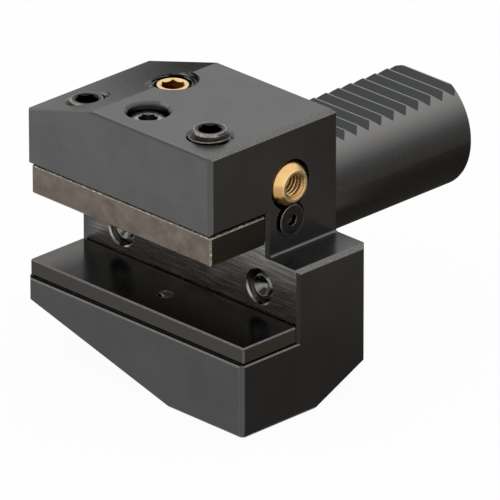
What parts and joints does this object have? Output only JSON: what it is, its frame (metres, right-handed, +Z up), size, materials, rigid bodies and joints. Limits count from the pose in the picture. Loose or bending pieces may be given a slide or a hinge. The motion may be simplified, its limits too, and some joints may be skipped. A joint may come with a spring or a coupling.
{
  "type": "radial lathe tool holder",
  "caption": "Radial lathe tool holder: steel block with a tool slot and clamping bar, ball coolant nozzle and a serrated cylindrical shank.",
  "frame": {"origin": "on the shank's axis, in the plane of the flange face that seats on the turret", "axes": "+X along the tool slot towards the nozzle's end, +Y along the shank away from the block, +Z up, from the support plate to the clamping bar"},
  "size_m": [0.07, 0.095, 0.0679],
  "materials": {
    "black_oxide_steel": "black oxide, satin",
    "blackened_bar_steel": "blackened, scratched, worn bright at the edges",
    "blackened_screw_steel": "blackened, slightly oiled",
    "bright_screw_steel": "bright turned point",
    "spring_steel": "drawn wire",
    "shim_steel": "black oxide, ground",
    "brass": "turned and polished",
    "seal_rubber": "matt"
  },
  "bodies": {
    "holder": {"holder_body": "black_oxide_steel", "shim_plate": "shim_steel", "shim_screw": "blackened_screw_steel", "coolant_plug": "brass", "nozzle_seal": "seal_rubber", "nozzle_screw": "blackened_screw_steel", "return_spring": "spring_steel", "shank_seal": "seal_rubber"},
    "clamp": {"clamp_bar": "blackened_bar_steel", "retaining_screw": "blackened_screw_steel"},
    "left_clamp_screw": {"clamp_screw_left": "blackened_screw_steel"},
    "right_clamp_screw": {"clamp_screw_right": "blackened_screw_steel"},
    "nozzle": {"nozzle": "brass"},
    "left_stop_screw": {"stop_screw_left": "bright_screw_steel"},
    "right_stop_screw": {"stop_screw_right": "bright_screw_steel"}
  },
  "joints": [
    {"name": "clamp_slide", "type": "slide", "parent": "holder", "child": "clamp", "axis": [0, 0, -1], "range_m": [0, 0.002], "stiffness_N_per_m": 5000, "springref_m": -0.0021, "deforming": ["return_spring"]},
    {"name": "right_clamp_screw_turn", "type": "hinge", "parent": "clamp", "child": "right_clamp_screw", "pos_m": [0.0158, -0.031, 0.02], "axis": [0, 0, -1], "range_deg": [0, 480]},
    {"name": "left_clamp_screw_turn", "type": "hinge", "parent": "clamp", "child": "left_clamp_screw", "pos_m": [-0.0242, -0.031, 0.02], "axis": [0, 0, -1], "range_deg": [0, 480]},
    {"name": "nozzle_swivel", "type": "hinge", "parent": "holder", "child": "nozzle", "pos_m": [0.022, -0.0146, 0.0138], "axis": [0, 1, 0], "range_deg": [-20, 20]},
    {"name": "left_stop_slide", "type": "slide", "parent": "holder", "child": "left_stop_screw", "axis": [0, -1, 0], "range_m": [0, 0.003]},
    {"name": "right_stop_slide", "type": "slide", "parent": "holder", "child": "right_stop_screw", "axis": [0, -1, 0], "range_m": [0, 0.003]}
  ],
  "couplings": [
    {"joint": "right_clamp_screw_turn", "follows": "clamp_slide", "rad_per_m": 4188.8},
    {"joint": "left_clamp_screw_turn", "follows": "clamp_slide", "rad_per_m": 4188.8}
  ]
}
